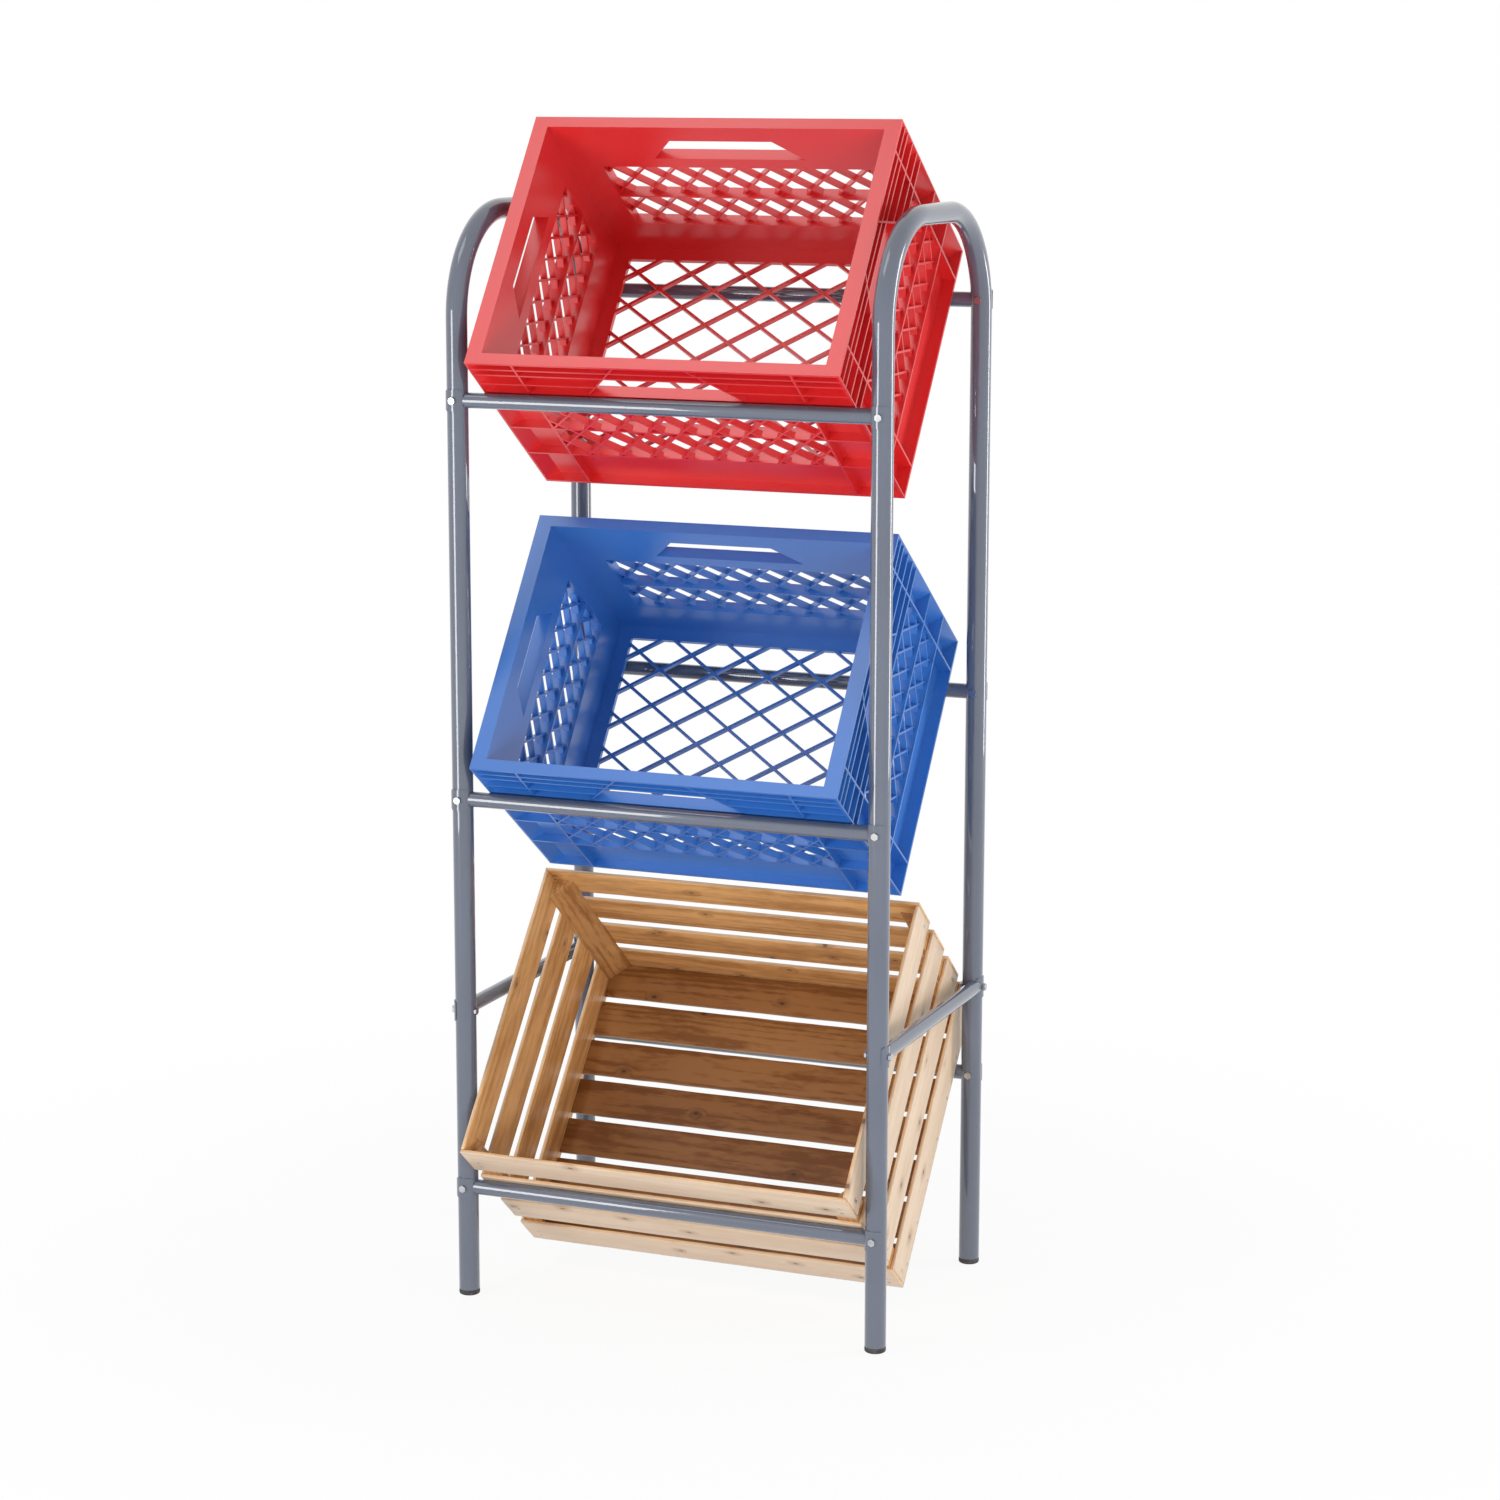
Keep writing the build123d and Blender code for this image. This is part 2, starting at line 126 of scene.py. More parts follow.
# The photograph's camera: place, aim and focal length, with the image centre off the lens axis
CAMERA_PLACE = (1.4053, -3.4000, 1.2888)
CAMERA_AZIMUTH = math.radians(22.46)
CAMERA_ELEVATION = math.radians(10.68)
CAMERA_LENS = 85.915
CAMERA_SHIFT = (0.01852, -0.01073)
CAMERA_CLIP = 100

# Stage, in metres: half the floor's width, and the distances between which its shadow fades out
FLOOR_SPAN = 30.0
SHADOW_FADE = (0.35, 1.3)

# Share of the floor's glow beside the rack, and strengths of the room's light and of the white backdrop
NEAR_GLOW = 0.90
ROOM_LIGHT = 0.64
BACKDROP_LIGHT = 1.0

rng = np.random.default_rng(7)


# Meshes


def add_piece(name, points, faces, material, body, nodes, attributes=None, sharp=SHARP_ANGLE):
    """A mesh object of these points and faces that stands for CAD nodes and moves with their body."""
    mesh = bpy.data.meshes.new(name)
    mesh.from_pydata(np.asarray(points).tolist(), [], faces)
    for key, (kind, channel, values) in (attributes or {}).items():
        layer = mesh.attributes.new(key, kind, "POINT")
        layer.data.foreach_set(channel, np.asarray(values, np.float32).ravel())
    mesh.materials.append(material)
    mesh.shade_smooth()
    mesh.set_sharp_from_angle(angle=math.radians(sharp))
    mesh.update()
    piece = bpy.data.objects.new(name, mesh)
    bpy.context.scene.collection.objects.link(piece)
    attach(piece, body)
    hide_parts(*nodes)


def ring_faces(rings, sides, first=0):
    """Quads between neighbouring rings of a sweep, and one flat face over each end."""
    ring, side = np.meshgrid(np.arange(rings - 1), np.arange(sides), indexing="ij")
    here = first + ring * sides + side
    beside = first + ring * sides + (side + 1) % sides
    quads = np.stack([here, beside, beside + sides, here + sides], -1).reshape(-1, 4)
    start = first + np.arange(sides)[::-1]
    end = first + (rings - 1) * sides + np.arange(sides)
    return quads.tolist() + [start.tolist(), end.tolist()]


def circle(sides):
    """Cosines and sines of evenly spaced angles round a circle."""
    angle = 2 * math.pi * np.arange(sides) / sides
    return np.cos(angle), np.sin(angle)


def lathe(profile, place, axis, sides):
    """Rings round an axis: each (radius, height) of the profile is a circle at that height along it."""
    axis = np.asarray(axis, float)
    # Any direction will do that isn't the axis itself
    aside = (0.36, 0.48, 0.8)
    first = np.cross(axis, aside)
    first /= np.linalg.norm(first)
    second = np.cross(axis, first)
    cosine, sine = circle(sides)
    radius, height = np.asarray(profile, float).T
    spoke = cosine[:, None] * first + sine[:, None] * second
    return np.asarray(place) + radius[:, None, None] * spoke + height[:, None, None] * axis


def eased_corner(start, corner, end, steps):
    """Points on the curve (1-t)^2 A + 2t(1-t) C + t^2 B from A to B, which aims at C at both ends."""
    start, corner, end = (np.asarray(point, float)[..., None, :] for point in (start, corner, end))
    t = np.linspace(0, 1, steps + 1)[:, None]
    return (1 - t) ** 2 * start + 2 * t * (1 - t) * corner + t**2 * end


def rounded(corners, radius):
    """Closed outline whose corners are eased between the points that lie this radius away on either side."""
    corners = np.asarray(corners, float)
    to_last = np.roll(corners, 1, 0) - corners
    to_next = np.roll(corners, -1, 0) - corners
    start = corners + radius * to_last / np.linalg.norm(to_last, axis=1, keepdims=True)
    end = corners + radius * to_next / np.linalg.norm(to_next, axis=1, keepdims=True)
    return eased_corner(start, corners, end, CORNER_STEPS).reshape(-1, 2)


# Material nodes


class Value:
    """A socket of a material's node tree; arithmetic on it adds Math nodes."""

    def __init__(self, tree, socket=None):
        self.tree = tree
        self.socket = socket

    def node(self, kind, settings=None, sockets=None, out=0):
        """Add any node: its settings first, then the values or links of its sockets."""
        node = self.tree.nodes.new(kind)
        for key, value in (settings or {}).items():
            setattr(node, key, value)
        for key, value in (sockets or {}).items():
            if isinstance(value, Value):
                self.tree.links.new(value.socket, node.inputs[key])
            else:
                node.inputs[key].default_value = value
        return Value(self.tree, node.outputs[out] if node.outputs else None)

    def math(self, operation, *inputs):
        """A Math node on these values and numbers."""
        return self.node("ShaderNodeMath", {"operation": operation}, dict(enumerate(inputs)))

    def __add__(self, other):
        return self.math("ADD", self, other)

    __radd__ = __add__

    def __sub__(self, other):
        return self.math("SUBTRACT", self, other)

    def __rsub__(self, other):
        return self.math("SUBTRACT", other, self)

    def __mul__(self, other):
        return self.math("MULTIPLY", self, other)

    __rmul__ = __mul__

    def __pow__(self, other):
        return self.math("POWER", self, other)

    def __rpow__(self, other):
        return self.math("POWER", other, self)

    def step(self, low, high):
        """Smooth rise from 0 at low to 1 at high; low above high makes it a fall."""
        settings = {"interpolation_type": "SMOOTHSTEP"}
        sockets = {"Value": self, "From Min": low, "From Max": high}
        return self.node("ShaderNodeMapRange", settings, sockets)

    def mix(self, first, second, blend="MIX"):
        """First colour where this value is 0, second, or their blend, where it is 1."""
        settings = {"data_type": "RGBA", "blend_type": blend}
        sockets = {"Factor": self, "A": first, "B": second}
        return self.node("ShaderNodeMix", settings, sockets, "Result")


def colour(red, green, blue):
    return (red, green, blue, 1.0)


WHITE = colour(1, 1, 1)


def new_finish(name):
    """An empty material and the value that its nodes are added through."""
    material = bpy.data.materials.new(name)
    material.use_nodes = True
    material.node_tree.nodes.clear()
    return material, Value(material.node_tree)


def finish_surface(start, sockets, height, strength, depth=BUMP_DEPTH):
    """Principled surface with a bump from height, linked to the output."""
    bump = start.node("ShaderNodeBump", None, {"Strength": strength, "Distance": depth, "Height": height})
    surface = start.node("ShaderNodeBsdfPrincipled", None, {**sockets, "Normal": bump})
    start.node("ShaderNodeOutputMaterial", None, {"Surface": surface})


def noise(start, vector, scale, detail=2.0):
    """Noise with this many cells a metre."""
    return start.node("ShaderNodeTexNoise", None, {"Vector": vector, "Scale": scale, "Detail": detail})


def object_place(start):
    return start.node("ShaderNodeTexCoord", out="Object")


def tube_paint():
    """Glossy blue-grey stove enamel with faint cloudiness and orange peel."""
    material, start = new_finish("tube_paint")
    place = object_place(start)
    cloud = noise(start, place, 9.0, 4.0)
    peel = noise(start, place, 520.0)
    deep, pale = colour(0.090, 0.106, 0.148), colour(0.100, 0.118, 0.163)
    enamel = {
        "Base Color": cloud.step(0.3, 0.7).mix(deep, pale),
        "Roughness": 0.18 + 0.10 * noise(start, place, 60.0, 5.0),
        "Specular IOR Level": 0.2,
        "Coat Weight": 1.0,
        "Coat Roughness": 0.03,
        "Coat IOR": 1.7,
    }
    finish_surface(start, enamel, peel, 0.05)
    return material


def moulded_plastic(name, deep, pale):
    """Satin moulded plastic: cloudy pigment, a fine spark-eroded skin and scuffs that dull it."""
    material, start = new_finish(name)
    place = object_place(start)
    cloud = noise(start, place, 6.0, 2.0)
    skin = noise(start, place, 1400.0, 1.0)
    scuff = noise(start, place, 420.0, 6.0).step(0.45, 0.8)
    base = cloud.step(0.25, 0.75).mix(deep, pale)
    rough = 0.27 + 0.05 * cloud + 0.02 * scuff
    finish_surface(start, {"Base Color": base, "Roughness": rough, "IOR": 1.75}, skin, 0.02)
    return material


def plated_steel(name, bright, dull, roughness):
    """Plated or drawn steel with blotches of duller skin."""
    material, start = new_finish(name)
    blotch = noise(start, object_place(start), 240.0, 6.0)
    base = blotch.step(0.35, 0.7).mix(bright, dull)
    rough = roughness + 0.2 * blotch
    finish_surface(start, {"Base Color": base, "Roughness": rough, "Metallic": 1.0}, blotch, 0.08)
    return material


def black_rubber():
    """Dull black foot rubber, greyed by floor dust in patches."""
    material, start = new_finish("foot_rubber")
    dust = noise(start, object_place(start), 160.0, 6.0)
    clean, dusty = colour(0.028, 0.028, 0.030), colour(0.075, 0.073, 0.070)
    base = dust.step(0.4, 0.75).mix(clean, dusty)
    finish_surface(start, {"Base Color": base, "Roughness": 0.55 + 0.25 * dust}, dust, 0.15)
    return material


def sawn_softwood():
    """Softwood in each board's own coordinates: growth rings round the heart of the log, fibres and knots.

    The grain attribute holds metres along the board, and across and through it counted from the log's heart.
    The second attribute is 1 on the outside of the crate and 0 inside: it paints the outside paler as lit and
    the inside darker and warmer as shade. The third is the brownness of the piece: random tone on the slats
    and painted shade on the posts and base boards.
    """
    material, start = new_finish("sawn_softwood")

    def attribute(name, out):
        return start.node("ShaderNodeAttribute", {"attribute_name": name}, None, out)

    grain = attribute("grain", "Vector")
    painted_light_share = attribute("painted_light_share", "Fac")
    tone_and_painted_shade = attribute("tone_and_painted_shade", "Fac")

    def axis(letter):
        return start.node("ShaderNodeSeparateXYZ", None, {"Vector": grain}, letter)

    def stretched(along, across):
        """Grain coordinates in cells, with this many a metre along the board and across it."""
        return start.node("ShaderNodeMapping", None, {"Vector": grain, "Scale": (along, across, across)})

    def figure(along, across, detail):
        """Noise drawn out along the board."""
        return noise(start, stretched(along, across), 1.0, detail)

    # Knots: one spot in some cells of a coarse pattern
    flat = {"voronoi_dimensions": "2D"}
    cells = {"Vector": stretched(14.0, 22.0), "Scale": 1.0}
    knot_distance = start.node("ShaderNodeTexVoronoi", flat, cells, "Distance")
    cell_colour = start.node("ShaderNodeTexVoronoi", flat, cells, "Color")
    picked = start.node("ShaderNodeSeparateColor", None, {"Color": cell_colour}, "Red").step(0.60, 0.66)
    knot = knot_distance.step(0.055, 0.025) * picked
    halo = knot_distance.step(0.22, 0.03) * picked

    # Rings: distance from the heart, bent by slow waves and round the knots
    sway = figure(5.0, 22.0, 3.0) - 0.5
    heart = (axis("Y") * axis("Y") + axis("Z") * axis("Z")) ** 0.5
    ring = heart + axis("X") * 0.006 + sway * 0.011 + halo * 0.006
    late = (0.5 + 0.5 * start.math("SINE", ring * (2 * math.pi / RING_PITCH))) ** 2.2

    # Depth of the grain's colour: 0 for early wood, 1 for the darkest
    fibre = figure(14.0, 900.0, 4.0)
    streak = figure(3.0, 70.0, 4.0)
    patch = figure(11.0, 34.0, 3.0)
    fleck = figure(60.0, 260.0, 3.0)
    depth = late * 0.24 + fibre.step(0.35, 0.75) * 0.18 + streak.step(0.35, 0.75) * 0.36
    depth = depth + patch.step(0.35, 0.70) * 0.34 + fleck.step(0.30, 0.70) * 0.24 - 0.12

    # The grain stands out most on the browner pieces and least on the outside faces, which are painted paler
    # as lit
    middle_depth = 0.44
    contrast = 1.6 + 1.7 * tone_and_painted_shade - 1.05 * painted_light_share
    depth = middle_depth + (depth - middle_depth) * contrast

    # Inner colours carry painted warm shade, and outer colours are painted paler as lit
    shaded_honey, shaded_chestnut = colour(0.74, 0.415, 0.165), colour(0.46, 0.215, 0.066)
    lit_cream, lit_sand = colour(0.77, 0.62, 0.47), colour(0.61, 0.43, 0.285)
    knot_rim, knot_core = colour(0.30, 0.15, 0.06), colour(0.12, 0.055, 0.024)
    # Brown that the posts and base boards are multiplied towards as painted shade, and the slats only
    # slightly as random tone
    brown_tone_and_shade = colour(0.40, 0.29, 0.21)
    wood = painted_light_share.mix(depth.mix(shaded_honey, shaded_chestnut), depth.mix(lit_cream, lit_sand))
    wood = (halo * 0.45).mix(wood, knot_rim)
    wood = (knot * 0.75).mix(wood, knot_core)
    wood = tone_and_painted_shade.mix(wood, brown_tone_and_shade, "MULTIPLY")
    sawn_face = {"Base Color": wood, "Roughness": 0.30 + 0.12 * fibre, "IOR": 1.4}
    height = fibre * 0.5 - late * 0.5 - knot * 0.6
    finish_surface(start, sawn_face, height, 0.35, WOOD_BUMP_DEPTH)
    return material


paint = tube_paint()
zinc = plated_steel("bright_zinc", colour(0.54, 0.55, 0.57), colour(0.41, 0.42, 0.44), 0.22)
nail_steel = plated_steel("nail_steel", colour(0.62, 0.58, 0.53), colour(0.40, 0.36, 0.31), 0.42)
rubber = black_rubber()
softwood = sawn_softwood()
red_plastic = moulded_plastic("red_plastic", colour(0.64, 0.017, 0.019), colour(0.68, 0.021, 0.023))
blue_plastic = moulded_plastic("blue_plastic", colour(0.026, 0.140, 0.47), colour(0.031, 0.152, 0.51))


def dress_node(node, material):
    """Give a CAD node that stays in view its finish."""
    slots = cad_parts[node].data.materials
    slots.clear()
    slots.append(material)


dress_node("red_crate", red_plastic)
dress_node("blue_crate", blue_plastic)
dress_node("hex_bolts", zinc)
dress_node("hex_nuts", zinc)


# Rack

hoop_low, hoop_high = (np.array(corner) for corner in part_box("right_hoop"))
leg_radius = (hoop_high[0] - hoop_low[0]) / 2
leg_x = hoop_high[0] - leg_radius
leg_y = hoop_high[1] - leg_radius
crown = hoop_high[2] - leg_radius
foot_top = hoop_low[2]
saddle_radius = leg_radius + SADDLE_THICKNESS


def add_tube(node, rings):
    """A painted tube of the rack, skinned over its rings."""
    faces = ring_faces(len(rings), TUBE_SIDES)
    add_piece(f"{node}_tube", rings.reshape(-1, 3), faces, paint, "rack", [node])


def hoop_rings(side):
    """Circle carried up one leg, round two quarter bends joined over the crown, and down the other leg."""
    turn = np.linspace(0, math.pi / 2, BEND_STATIONS)
    rise_y = -leg_y + HOOP_BEND * (1 - np.cos(turn))
    rise_z = crown - HOOP_BEND + HOOP_BEND * np.sin(turn)
    path_y = np.concatenate([[-leg_y], rise_y, -rise_y[::-1], [leg_y]])
    path_z = np.concatenate([[foot_top], rise_z, rise_z[::-1], [foot_top]])
    heading = np.concatenate([[0], turn, math.pi - turn[::-1], [math.pi]])
    cosine, sine = circle(TUBE_SIDES)
    # The section's second axis is the heading (0, sin, cos) crossed with X: (0, cos, -sin).
    x = side * leg_x + leg_radius * np.broadcast_to(cosine, (len(path_y), TUBE_SIDES))
    y = path_y[:, None] + leg_radius * np.cos(heading)[:, None] * sine
    z = path_z[:, None] - leg_radius * np.sin(heading)[:, None] * sine
    return np.stack([x, y, z], -1)


for side, side_name in SIDES:
    add_tube(f"{side_name}_hoop", hoop_rings(side))


def leg_lean(z):
    """How far the bend carries a leg's centre line inwards at height z: R - sqrt(R^2 - h^2)."""
    above = np.clip(z - (crown - HOOP_BEND), 0, HOOP_BEND)
    return HOOP_BEND - np.sqrt(HOOP_BEND**2 - above**2)


def bar_section(node):
    """Centre of a bar's box, and radius times cosine and radius times sine round its section."""
    low, high = (np.array(corner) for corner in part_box(node))
    radius = (high[2] - low[2]) / 2
    cosine, sine = circle(TUBE_SIDES)
    return (low + high) / 2, radius * cosine, radius * sine


def cross_bar_rings(node):
    """Circle along X whose ends are cut to the legs: x = leg_x - sqrt(R^2 - (y - leg's y)^2)."""
    centre, depthwise, upright = bar_section(node)
    y = centre[1] + depthwise
    z = centre[2] + upright
    from_leg = y - np.sign(centre[1]) * (leg_y - leg_lean(z))
    reach = leg_x - np.sqrt(np.maximum(leg_radius**2 - from_leg**2, 0))
    x = np.linspace(-1, 1, BAR_STATIONS)[:, None] * reach
    return np.stack([x, np.broadcast_to(y, x.shape), np.broadcast_to(z, x.shape)], -1)


def side_bar_rings(node):
    """Circle along Y whose ends are cut to the saddles: y = leg_y - sqrt(R^2 - (x - leg_x)^2)."""
    centre, upright, sideways = bar_section(node)
    z = centre[2] + upright
    x = centre[0] + sideways
    reach = leg_y - np.sqrt(np.maximum(saddle_radius**2 - (np.abs(x) - leg_x) ** 2, 0))
    y = np.linspace(-1, 1, BAR_STATIONS)[:, None] * reach
    return np.stack([np.broadcast_to(x, y.shape), y, np.broadcast_to(z, y.shape)], -1)


def saddle_sheets(place, outward):
    """Outer and inner sheet of a plate rolled round a leg, each on an arc about the leg's axis.

    Half the width at height h is w - c + sqrt(c^2 - p^2): w is half the wrap, c the corner's radius and p how
    far h runs into the corner.
    """
    height = np.linspace(-SADDLE_HEIGHT / 2, SADDLE_HEIGHT / 2, PLATE_ROWS)
    past = np.maximum(np.abs(height) - (SADDLE_HEIGHT / 2 - SADDLE_CORNER), 0)
    width = saddle_radius * SADDLE_WRAP / 2 - SADDLE_CORNER + np.sqrt(SADDLE_CORNER**2 - past**2)
    around = np.linspace(-1, 1, PLATE_COLUMNS) * width[:, None] / saddle_radius
    across = np.cross((0, 0, 1), outward)
    direction = np.cos(around)[..., None] * outward + np.sin(around)[..., None] * across
    lift = height[:, None, None] * np.array([0, 0, 1.0])
    return [place + lift + radius * direction for radius in (saddle_radius, leg_radius + SADDLE_PLAY)]


def saddle_mesh(places, outward):
    """Points and faces of the plates on one bar: an outer and an inner sheet, sewn along their edges."""
    points, faces = [], []
    for place in places:
        outer, inner = saddle_sheets(place, outward)
        first = sum(len(block) for block in points)
        sheet = PLATE_ROWS * PLATE_COLUMNS
        index = first + np.arange(sheet).reshape(PLATE_ROWS, PLATE_COLUMNS)
        quad = np.stack([index[:-1, :-1], index[:-1, 1:], index[1:, 1:], index[1:, :-1]], -1).reshape(-1, 4)
        edge = np.concatenate([index[0], index[1:, -1], index[-1, -2::-1], index[-2:0:-1, 0]])
        skirt = np.stack([edge, edge + sheet, np.roll(edge, -1) + sheet, np.roll(edge, -1)], -1)
        faces += quad.tolist() + (quad + sheet)[:, ::-1].tolist() + skirt.tolist()
        points += [outer.reshape(-1, 3), inner.reshape(-1, 3)]
    return np.concatenate(points), faces


def add_bar(node, rings, legs, outward):
    """A bar's tube, and its two plates on the legs that stand at these (x, y), level with the bar."""
    add_tube(node, rings)
    level = rings[0, :, 2].mean()
    places = [np.array([x, y, level]) for x, y in legs]
    points, faces = saddle_mesh(places, np.array(outward, float))
    add_piece(f"{node}_plates", points, faces, paint, "rack", [f"{node}_saddles"])


for end, end_name in ENDS:
    for tier in TIERS:
        node = f"{end_name}_bar_{tier}"
        legs = [(side * leg_x, end * leg_y) for side, _ in SIDES]
        add_bar(node, cross_bar_rings(node), legs, (0, end, 0))

for side, side_name in SIDES:
    node = f"side_bar_{side_name}"
    legs = [(side * leg_x, end * leg_y) for end, _ in ENDS]
    add_bar(node, side_bar_rings(node), legs, (side, 0, 0))


def foot_profile():
    """Outline turned round a leg's axis: an eased sole edge, a straight side, an eased brim and a stem."""
    rim = leg_radius
    sole = eased_corner((rim - SOLE_EASING[0], 0), (rim, 0), (rim, SOLE_EASING[1]), CORNER_STEPS)
    brim_start, brim_end = (rim, foot_top - BRIM_EASING[1]), (rim - BRIM_EASING[0], foot_top)
    brim = eased_corner(brim_start, (rim, foot_top), brim_end, SMALL_CORNER_STEPS)
    stem = [(rim - STEM_INSET, foot_top), (rim - STEM_INSET, foot_top + STEM_LENGTH)]
    return np.concatenate([sole, brim, stem])


for side, side_name in SIDES:
    for end, end_name in ENDS:
        node = f"foot_cap_{end_name}_{side_name}"
        rings = lathe(foot_profile(), (side * leg_x, end * leg_y, 0), (0, 0, 1), TUBE_SIDES)
        faces = ring_faces(len(rings), TUBE_SIDES)
        add_piece(f"{node}_rubber", rings.reshape(-1, 3), faces, rubber, "rack", [node])


# Wooden crate, worked out in its own frame: X along, S back, H towards the opening

CRATE_AXES = np.array(
    [
        [1, 0, 0],
        [0, math.cos(WOOD_TILT), math.sin(WOOD_TILT)],
        [0, -math.sin(WOOD_TILT), math.cos(WOOD_TILT)],
    ]
)
ALONG, BACK, UP = np.eye(3)
wood_height = SLAT_COUNT * SLAT_HEIGHT + (SLAT_COUNT - 1) * SLAT_GAP
half_length, half_breadth = WOOD_LENGTH / 2, WOOD_BREADTH / 2
inner_length, inner_breadth = half_length - SLAT_THICKNESS, half_breadth - SLAT_THICKNESS
board_top = BOARD_RISE + BOARD_THICKNESS
board_level = BOARD_RISE + BOARD_THICKNESS / 2
board_width = (2 * inner_breadth - (BOARD_COUNT - 1) * BOARD_GAP) / BOARD_COUNT
slat_middles = SLAT_HEIGHT / 2 + np.arange(SLAT_COUNT) * (SLAT_HEIGHT + SLAT_GAP)
board_middles = -inner_breadth + board_width / 2 + np.arange(BOARD_COUNT) * (board_width + BOARD_GAP)
nail_levels = slat_middles + (board_top - POST_DROP) / 2


def seated(points):
    """Crate coordinates carried to the rack: origin + x X + s S + h H."""
    return WOOD_ORIGIN + points @ CRATE_AXES


def sawn_piece(node, centre, width_axis, out_axis, outline, length, inside=False, brown_and_shade=SLAT_BROWN):
    """Outline carried along a board whose edges wander by two slow waves and whose ends are rounded over.

    The wander w (1 + (sin a + sin b) / 2) only ever runs inwards, so the board stays inside its solid.
    """
    along_axis = np.cross(width_axis, out_axis)
    t = np.linspace(-0.5, 0.5, BOARD_STATIONS)
    round_end = np.array([0.0, 0.35, 1.0]) * BOARD_END_ROUNDING
    straight = t[1:-1] * (length - 4 * BOARD_END_ROUNDING)
    along = np.concatenate([-length / 2 + round_end, straight, length / 2 - round_end[::-1]])
    inset = np.concatenate([round_end[::-1], np.zeros(len(straight)), round_end])
    phase = rng.uniform(0, 2 * math.pi, (2, 2, 1))
    pitch = rng.uniform(*EDGE_WAVE_PITCH, (2, 2, 1))
    wander = EDGE_WANDER * (np.sin(2 * math.pi * along / pitch + phase).sum(0) / 2 + 1)
    outline = np.asarray(outline)
    size = np.abs(outline).max(0)
    share = outline / size
    across = outline[:, 0] - share[:, 0] * (inset + wander[0])[:, None]
    through = outline[:, 1] - share[:, 1] * (inset + FACE_WANDER_SHARE * wander[1])[:, None]
    run = np.broadcast_to(along[:, None], across.shape)
    local = run[..., None] * along_axis + across[..., None] * width_axis + through[..., None] * out_axis
    heart = np.array([rng.uniform(*limits) for limits in HEART_RANGES])
    grain = np.stack([run, across, through], -1) + heart
    # From about 0 on the face that looks into the crate, painted darker and warmer as shade, to 1 on the
    # outer one, painted paler as lit
    painted_light_share = np.zeros(across.shape) if inside else np.clip(0.5 + 0.55 * through / size[1], 0, 1)
    # Brownness of the piece: random tone on the slats, painted shade on the posts and base boards
    tone_and_painted_shade = np.full(across.shape, rng.uniform(*brown_and_shade))
    attributes = {
        "grain": ("FLOAT_VECTOR", "vector", grain),
        "painted_light_share": ("FLOAT", "value", painted_light_share),
        "tone_and_painted_shade": ("FLOAT", "value", tone_and_painted_shade),
    }
    name = f"{node}_board"
    points = seated((np.asarray(centre) + local).reshape(-1, 3))
    faces = ring_faces(len(along), len(outline))
    add_piece(name, points, faces, softwood, "wood_crate", [node], attributes, SAWN_SHARP_ANGLE)


def board_outline(width, thickness):
    """Rectangle with worn arrises."""
    w, t = width / 2, thickness / 2
    return rounded([(-w, -t), (w, -t), (w, t), (-w, t)], ARRIS)


slat_outline = board_outline(SLAT_HEIGHT, SLAT_THICKNESS)
for number, middle in enumerate(slat_middles, 1):
    for end, end_name in ENDS:
        centre = (0, end * (half_breadth - SLAT_THICKNESS / 2), middle)
        sawn_piece(f"{end_name}_slat_{number}", centre, UP, end * BACK, slat_outline, WOOD_LENGTH)
    for side, side_name in SIDES:
        centre = (side * (half_length - SLAT_THICKNESS / 2), 0, middle)
        sawn_piece(f"{side_name}_slat_{number}", centre, UP, side * ALONG, slat_outline, 2 * inner_breadth)

base_outline = board_outline(board_width, BOARD_THICKNESS)
for number, middle in enumerate(board_middles, 1):
    name = f"base_board_{number}"
    centre = (0, middle, board_level)
    sawn_piece(name, centre, BACK, -UP, base_outline, 2 * inner_length, brown_and_shade=BASE_PAINTED_SHADE)

# The post's right angle sits in the crate's corner and its long face looks into the crate
post_outline = rounded([(0, 0), (-POST_LEG, 0), (0, -POST_LEG)], POST_ROUNDING)
post_length = wood_height - POST_DROP - board_top
for side, side_name in SIDES:
    for end, end_name in ENDS:
        name = f"corner_post_{end_name}_{side_name}"
        corner = np.array([side * inner_length, end * inner_breadth, board_top + post_length / 2])
        # In this order the two axes make a post that runs up the crate at every corner
        width_axis, out_axis = side * ALONG, end * BACK
        if side * end < 0:
            width_axis, out_axis = out_axis, width_axis
        sawn_piece(name, corner, width_axis, out_axis, post_outline, post_length, True, POST_PAINTED_SHADE)


def nail_places():
    """Head centre and outward direction of every nail, in crate coordinates."""
    for level in nail_levels:
        for side, _ in SIDES:
            for end, _ in ENDS:
                for up in (-0.5, 0.5):
                    x = side * (inner_length - NAIL_INSET)
                    yield (x, end * half_breadth, level + up * SIDE_NAIL_SPREAD), end * BACK
                    s = end * (inner_breadth - NAIL_INSET)
                    yield (side * half_length, s, level + up * END_NAIL_SPREAD), side * ALONG
    for middle in board_middles:
        for side, _ in SIDES:
            yield (side * half_length, middle, board_level), side * ALONG


def nail_profile():
    """Outline turned round a nail's axis, from the blunt tip to the head, where 0 is flush with the wood."""
    tip = (NAIL_RADIUS * 0.2, NAIL_TIP_CUT - NAIL_LENGTH)
    shank = [(NAIL_RADIUS, NAIL_POINT - NAIL_LENGTH), (NAIL_RADIUS, NAIL_NECK)]
    underside = (NAIL_HEAD_RADIUS, HEAD_UNDERSIDE)
    edge, shoulder = (NAIL_HEAD_RADIUS, HEAD_EDGE), (NAIL_HEAD_RADIUS, HEAD_CROWN)
    flat = (NAIL_HEAD_RADIUS * 0.3, HEAD_CROWN)
    return np.concatenate([[tip, *shank, underside], eased_corner(edge, shoulder, flat, SMALL_CORNER_STEPS)])


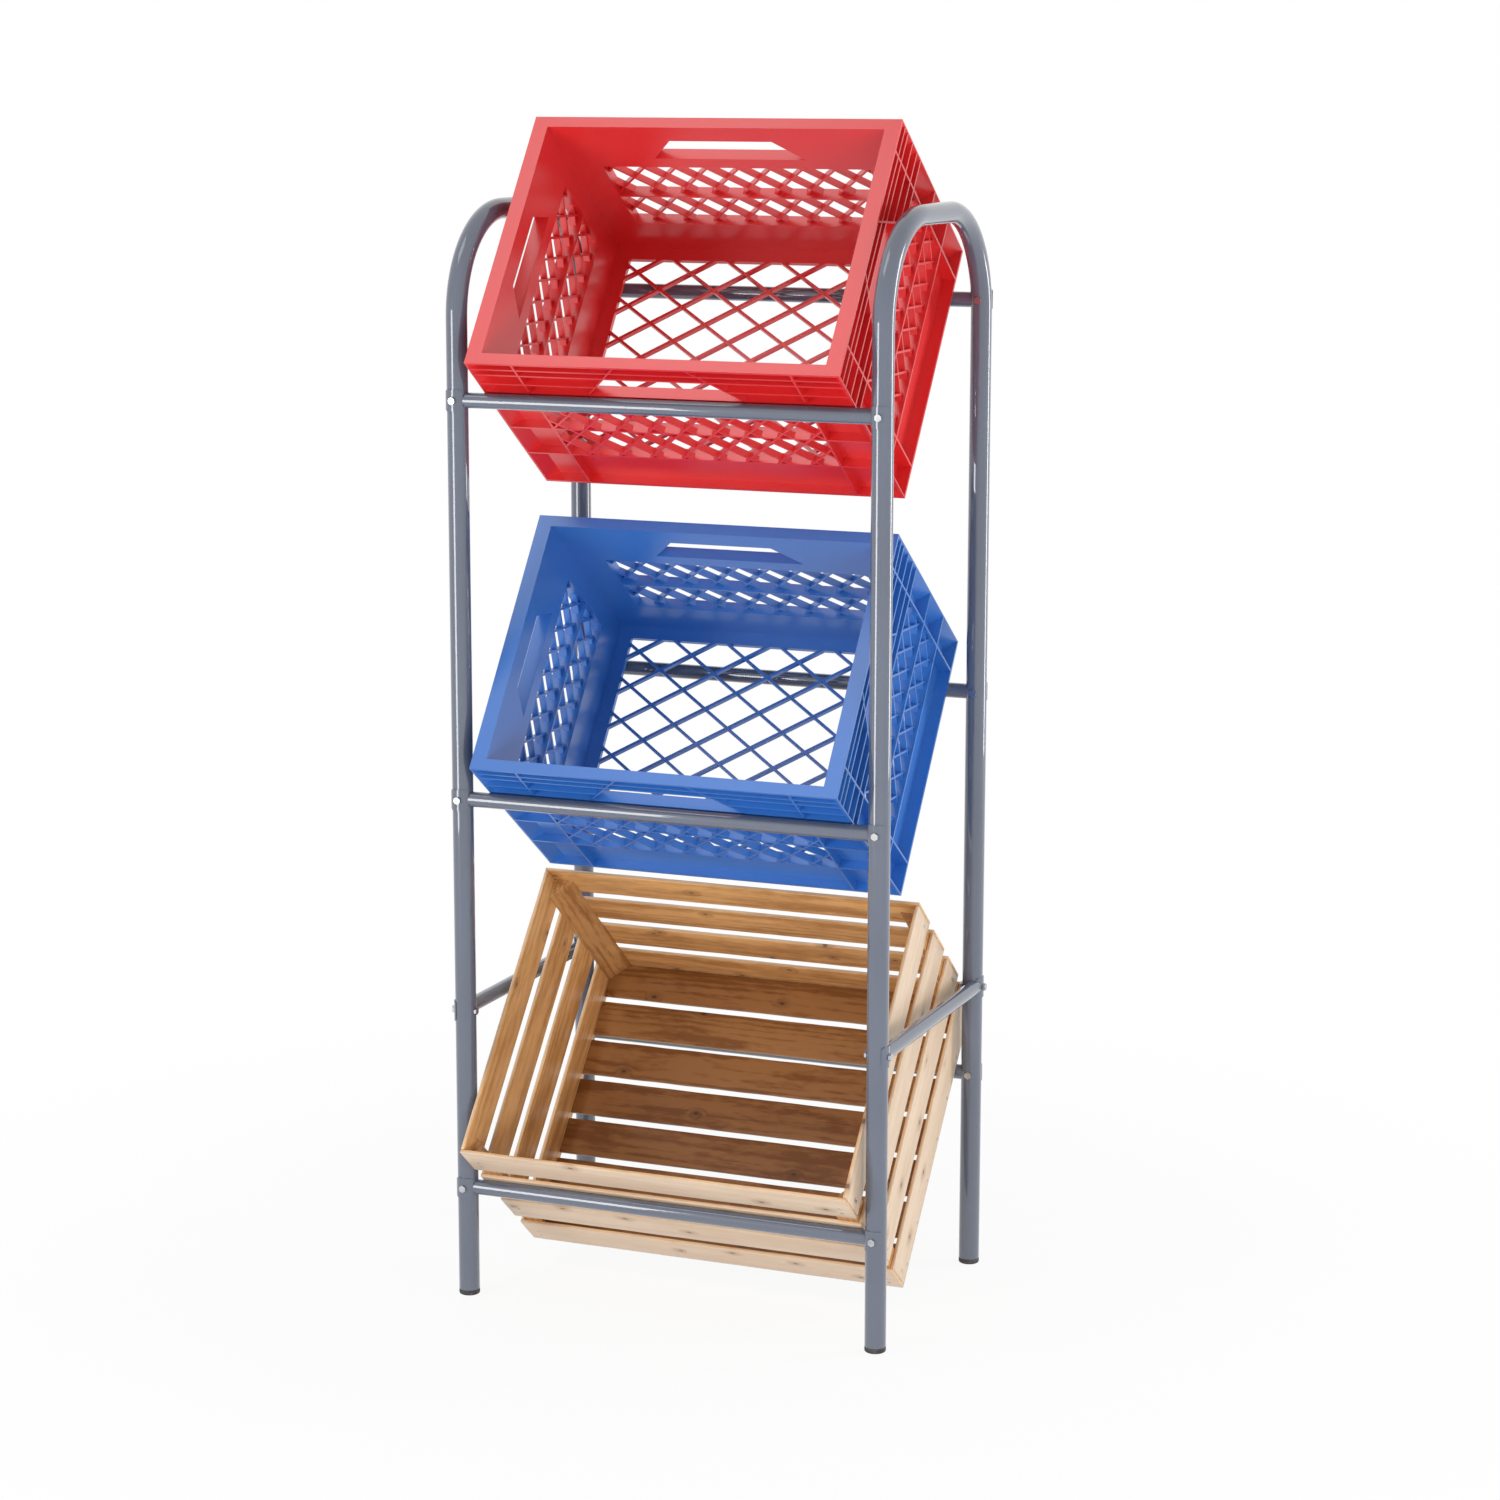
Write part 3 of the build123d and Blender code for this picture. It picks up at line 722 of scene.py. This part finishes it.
nail_points, nail_faces = [], []
for head, outward in nail_places():
    rings = lathe(nail_profile(), head, outward, NAIL_SIDES)
    nail_faces += ring_faces(len(rings), NAIL_SIDES, sum(len(block) for block in nail_points))
    nail_points.append(rings.reshape(-1, 3))
nail_points = seated(np.concatenate(nail_points))
add_piece("wire_nails", nail_points, nail_faces, nail_steel, "wood_crate", ["nails"])


# Stage: floor, world, lamps and camera


def backdrop_ray(start):
    """1 for rays that look straight at the backdrop: from the camera, a gloss or through glass."""

    def ray(kind):
        return start.node("ShaderNodeLightPath", out=f"Is {kind} Ray")

    return start.math("MAXIMUM", ray("Camera"), start.math("MAXIMUM", ray("Glossy"), ray("Transmission")))


def blended(start, share, first, second):
    """First shader where the share is 0, second where it is 1; both their sockets have the same name."""
    return start.node("ShaderNodeMixShader", None, {0: share, 1: first, 2: second})


def white_floor():
    """Matt white floor that glows where it is looked at, wholly so away from the rack.

    Beside the rack a little of the matt floor shows through the glow, with its soft shadow.
    """
    material, start = new_finish("white_floor")
    place = object_place(start)
    distance = start.node("ShaderNodeVectorMath", {"operation": "LENGTH"}, {"Vector": place}, "Value")
    glow_share = NEAR_GLOW + (1 - NEAR_GLOW) * distance.step(*SHADOW_FADE)
    tone = noise(start, place, 3.0).mix(colour(0.94, 0.94, 0.94), colour(0.96, 0.96, 0.96))
    matt = start.node("ShaderNodeBsdfDiffuse", None, {"Color": tone})
    glow = start.node("ShaderNodeEmission", None, {"Color": WHITE, "Strength": BACKDROP_LIGHT})
    surface = blended(start, backdrop_ray(start) * glow_share, matt, glow)
    start.node("ShaderNodeOutputMaterial", None, {"Surface": surface})
    return material


floor_corners = [(x * FLOOR_SPAN, y * FLOOR_SPAN, 0) for x, y in ((-1, -1), (1, -1), (1, 1), (-1, 1))]
floor_mesh = bpy.data.meshes.new("floor")
floor_mesh.from_pydata(floor_corners, [], [(0, 1, 2, 3)])
floor_mesh.materials.append(white_floor())
floor = bpy.data.objects.new("floor", floor_mesh)
bpy.context.scene.collection.objects.link(floor)

world = bpy.data.worlds.new("white_room")
bpy.context.scene.world = world
world.use_nodes = True
world.node_tree.nodes.clear()
sky = Value(world.node_tree)
room = sky.node("ShaderNodeBackground", None, {"Color": WHITE, "Strength": ROOM_LIGHT})
backdrop = sky.node("ShaderNodeBackground", None, {"Color": WHITE, "Strength": BACKDROP_LIGHT})
sky.node("ShaderNodeOutputWorld", None, {"Surface": blended(sky, backdrop_ray(sky), room, backdrop)})


def softbox(name, place, target, width, height, power, mirrored=True):
    """Rectangular lamp aimed at a point; one that isn't mirrored lights without showing in the gloss."""
    lamp = bpy.data.lights.new(name, "AREA")
    lamp.shape = "RECTANGLE"
    lamp.size, lamp.size_y = width, height
    lamp.energy = power
    holder = bpy.data.objects.new(name, lamp)
    bpy.context.scene.collection.objects.link(holder)
    aim = np.array(target) - np.array(place)
    flat = math.hypot(aim[0], aim[1])
    holder.visible_glossy = mirrored
    holder.location = place
    holder.rotation_euler = (math.atan2(flat, -aim[2]), 0, math.atan2(-aim[0], aim[1]))


# Place, aim, width and height in metres, power in watts
softbox("key_softbox", (-1.24, -2.19, 0.62), (0, 0, 0.62), 0.7, 1.15, 18)
softbox("top_softbox", (-0.80, -0.93, 2.87), (0, 0, 0.8), 0.9, 0.9, 4.8)
softbox("rear_softbox", (2.56, 1.57, 1.0), (0, 0, 0.7), 0.55, 2.0, 30)
softbox("side_fill", (2.0, -1.7, 0.6), (0, 0, 0.7), 1.2, 1.4, 12, mirrored=False)
softbox("floor_fill", (1.2, -2.0, 0.12), (0, 0, 0.45), 1.8, 0.5, 21, mirrored=False)

lens = bpy.data.cameras.new("photo_camera")
lens.lens = CAMERA_LENS
lens.shift_x, lens.shift_y = CAMERA_SHIFT
lens.clip_end = CAMERA_CLIP
camera = bpy.data.objects.new("photo_camera", lens)
camera.location = CAMERA_PLACE
camera.rotation_euler = (math.pi / 2 - CAMERA_ELEVATION, 0, CAMERA_AZIMUTH)
bpy.context.scene.collection.objects.link(camera)
bpy.context.scene.camera = camera
bpy.context.scene.view_settings.view_transform = "Standard"
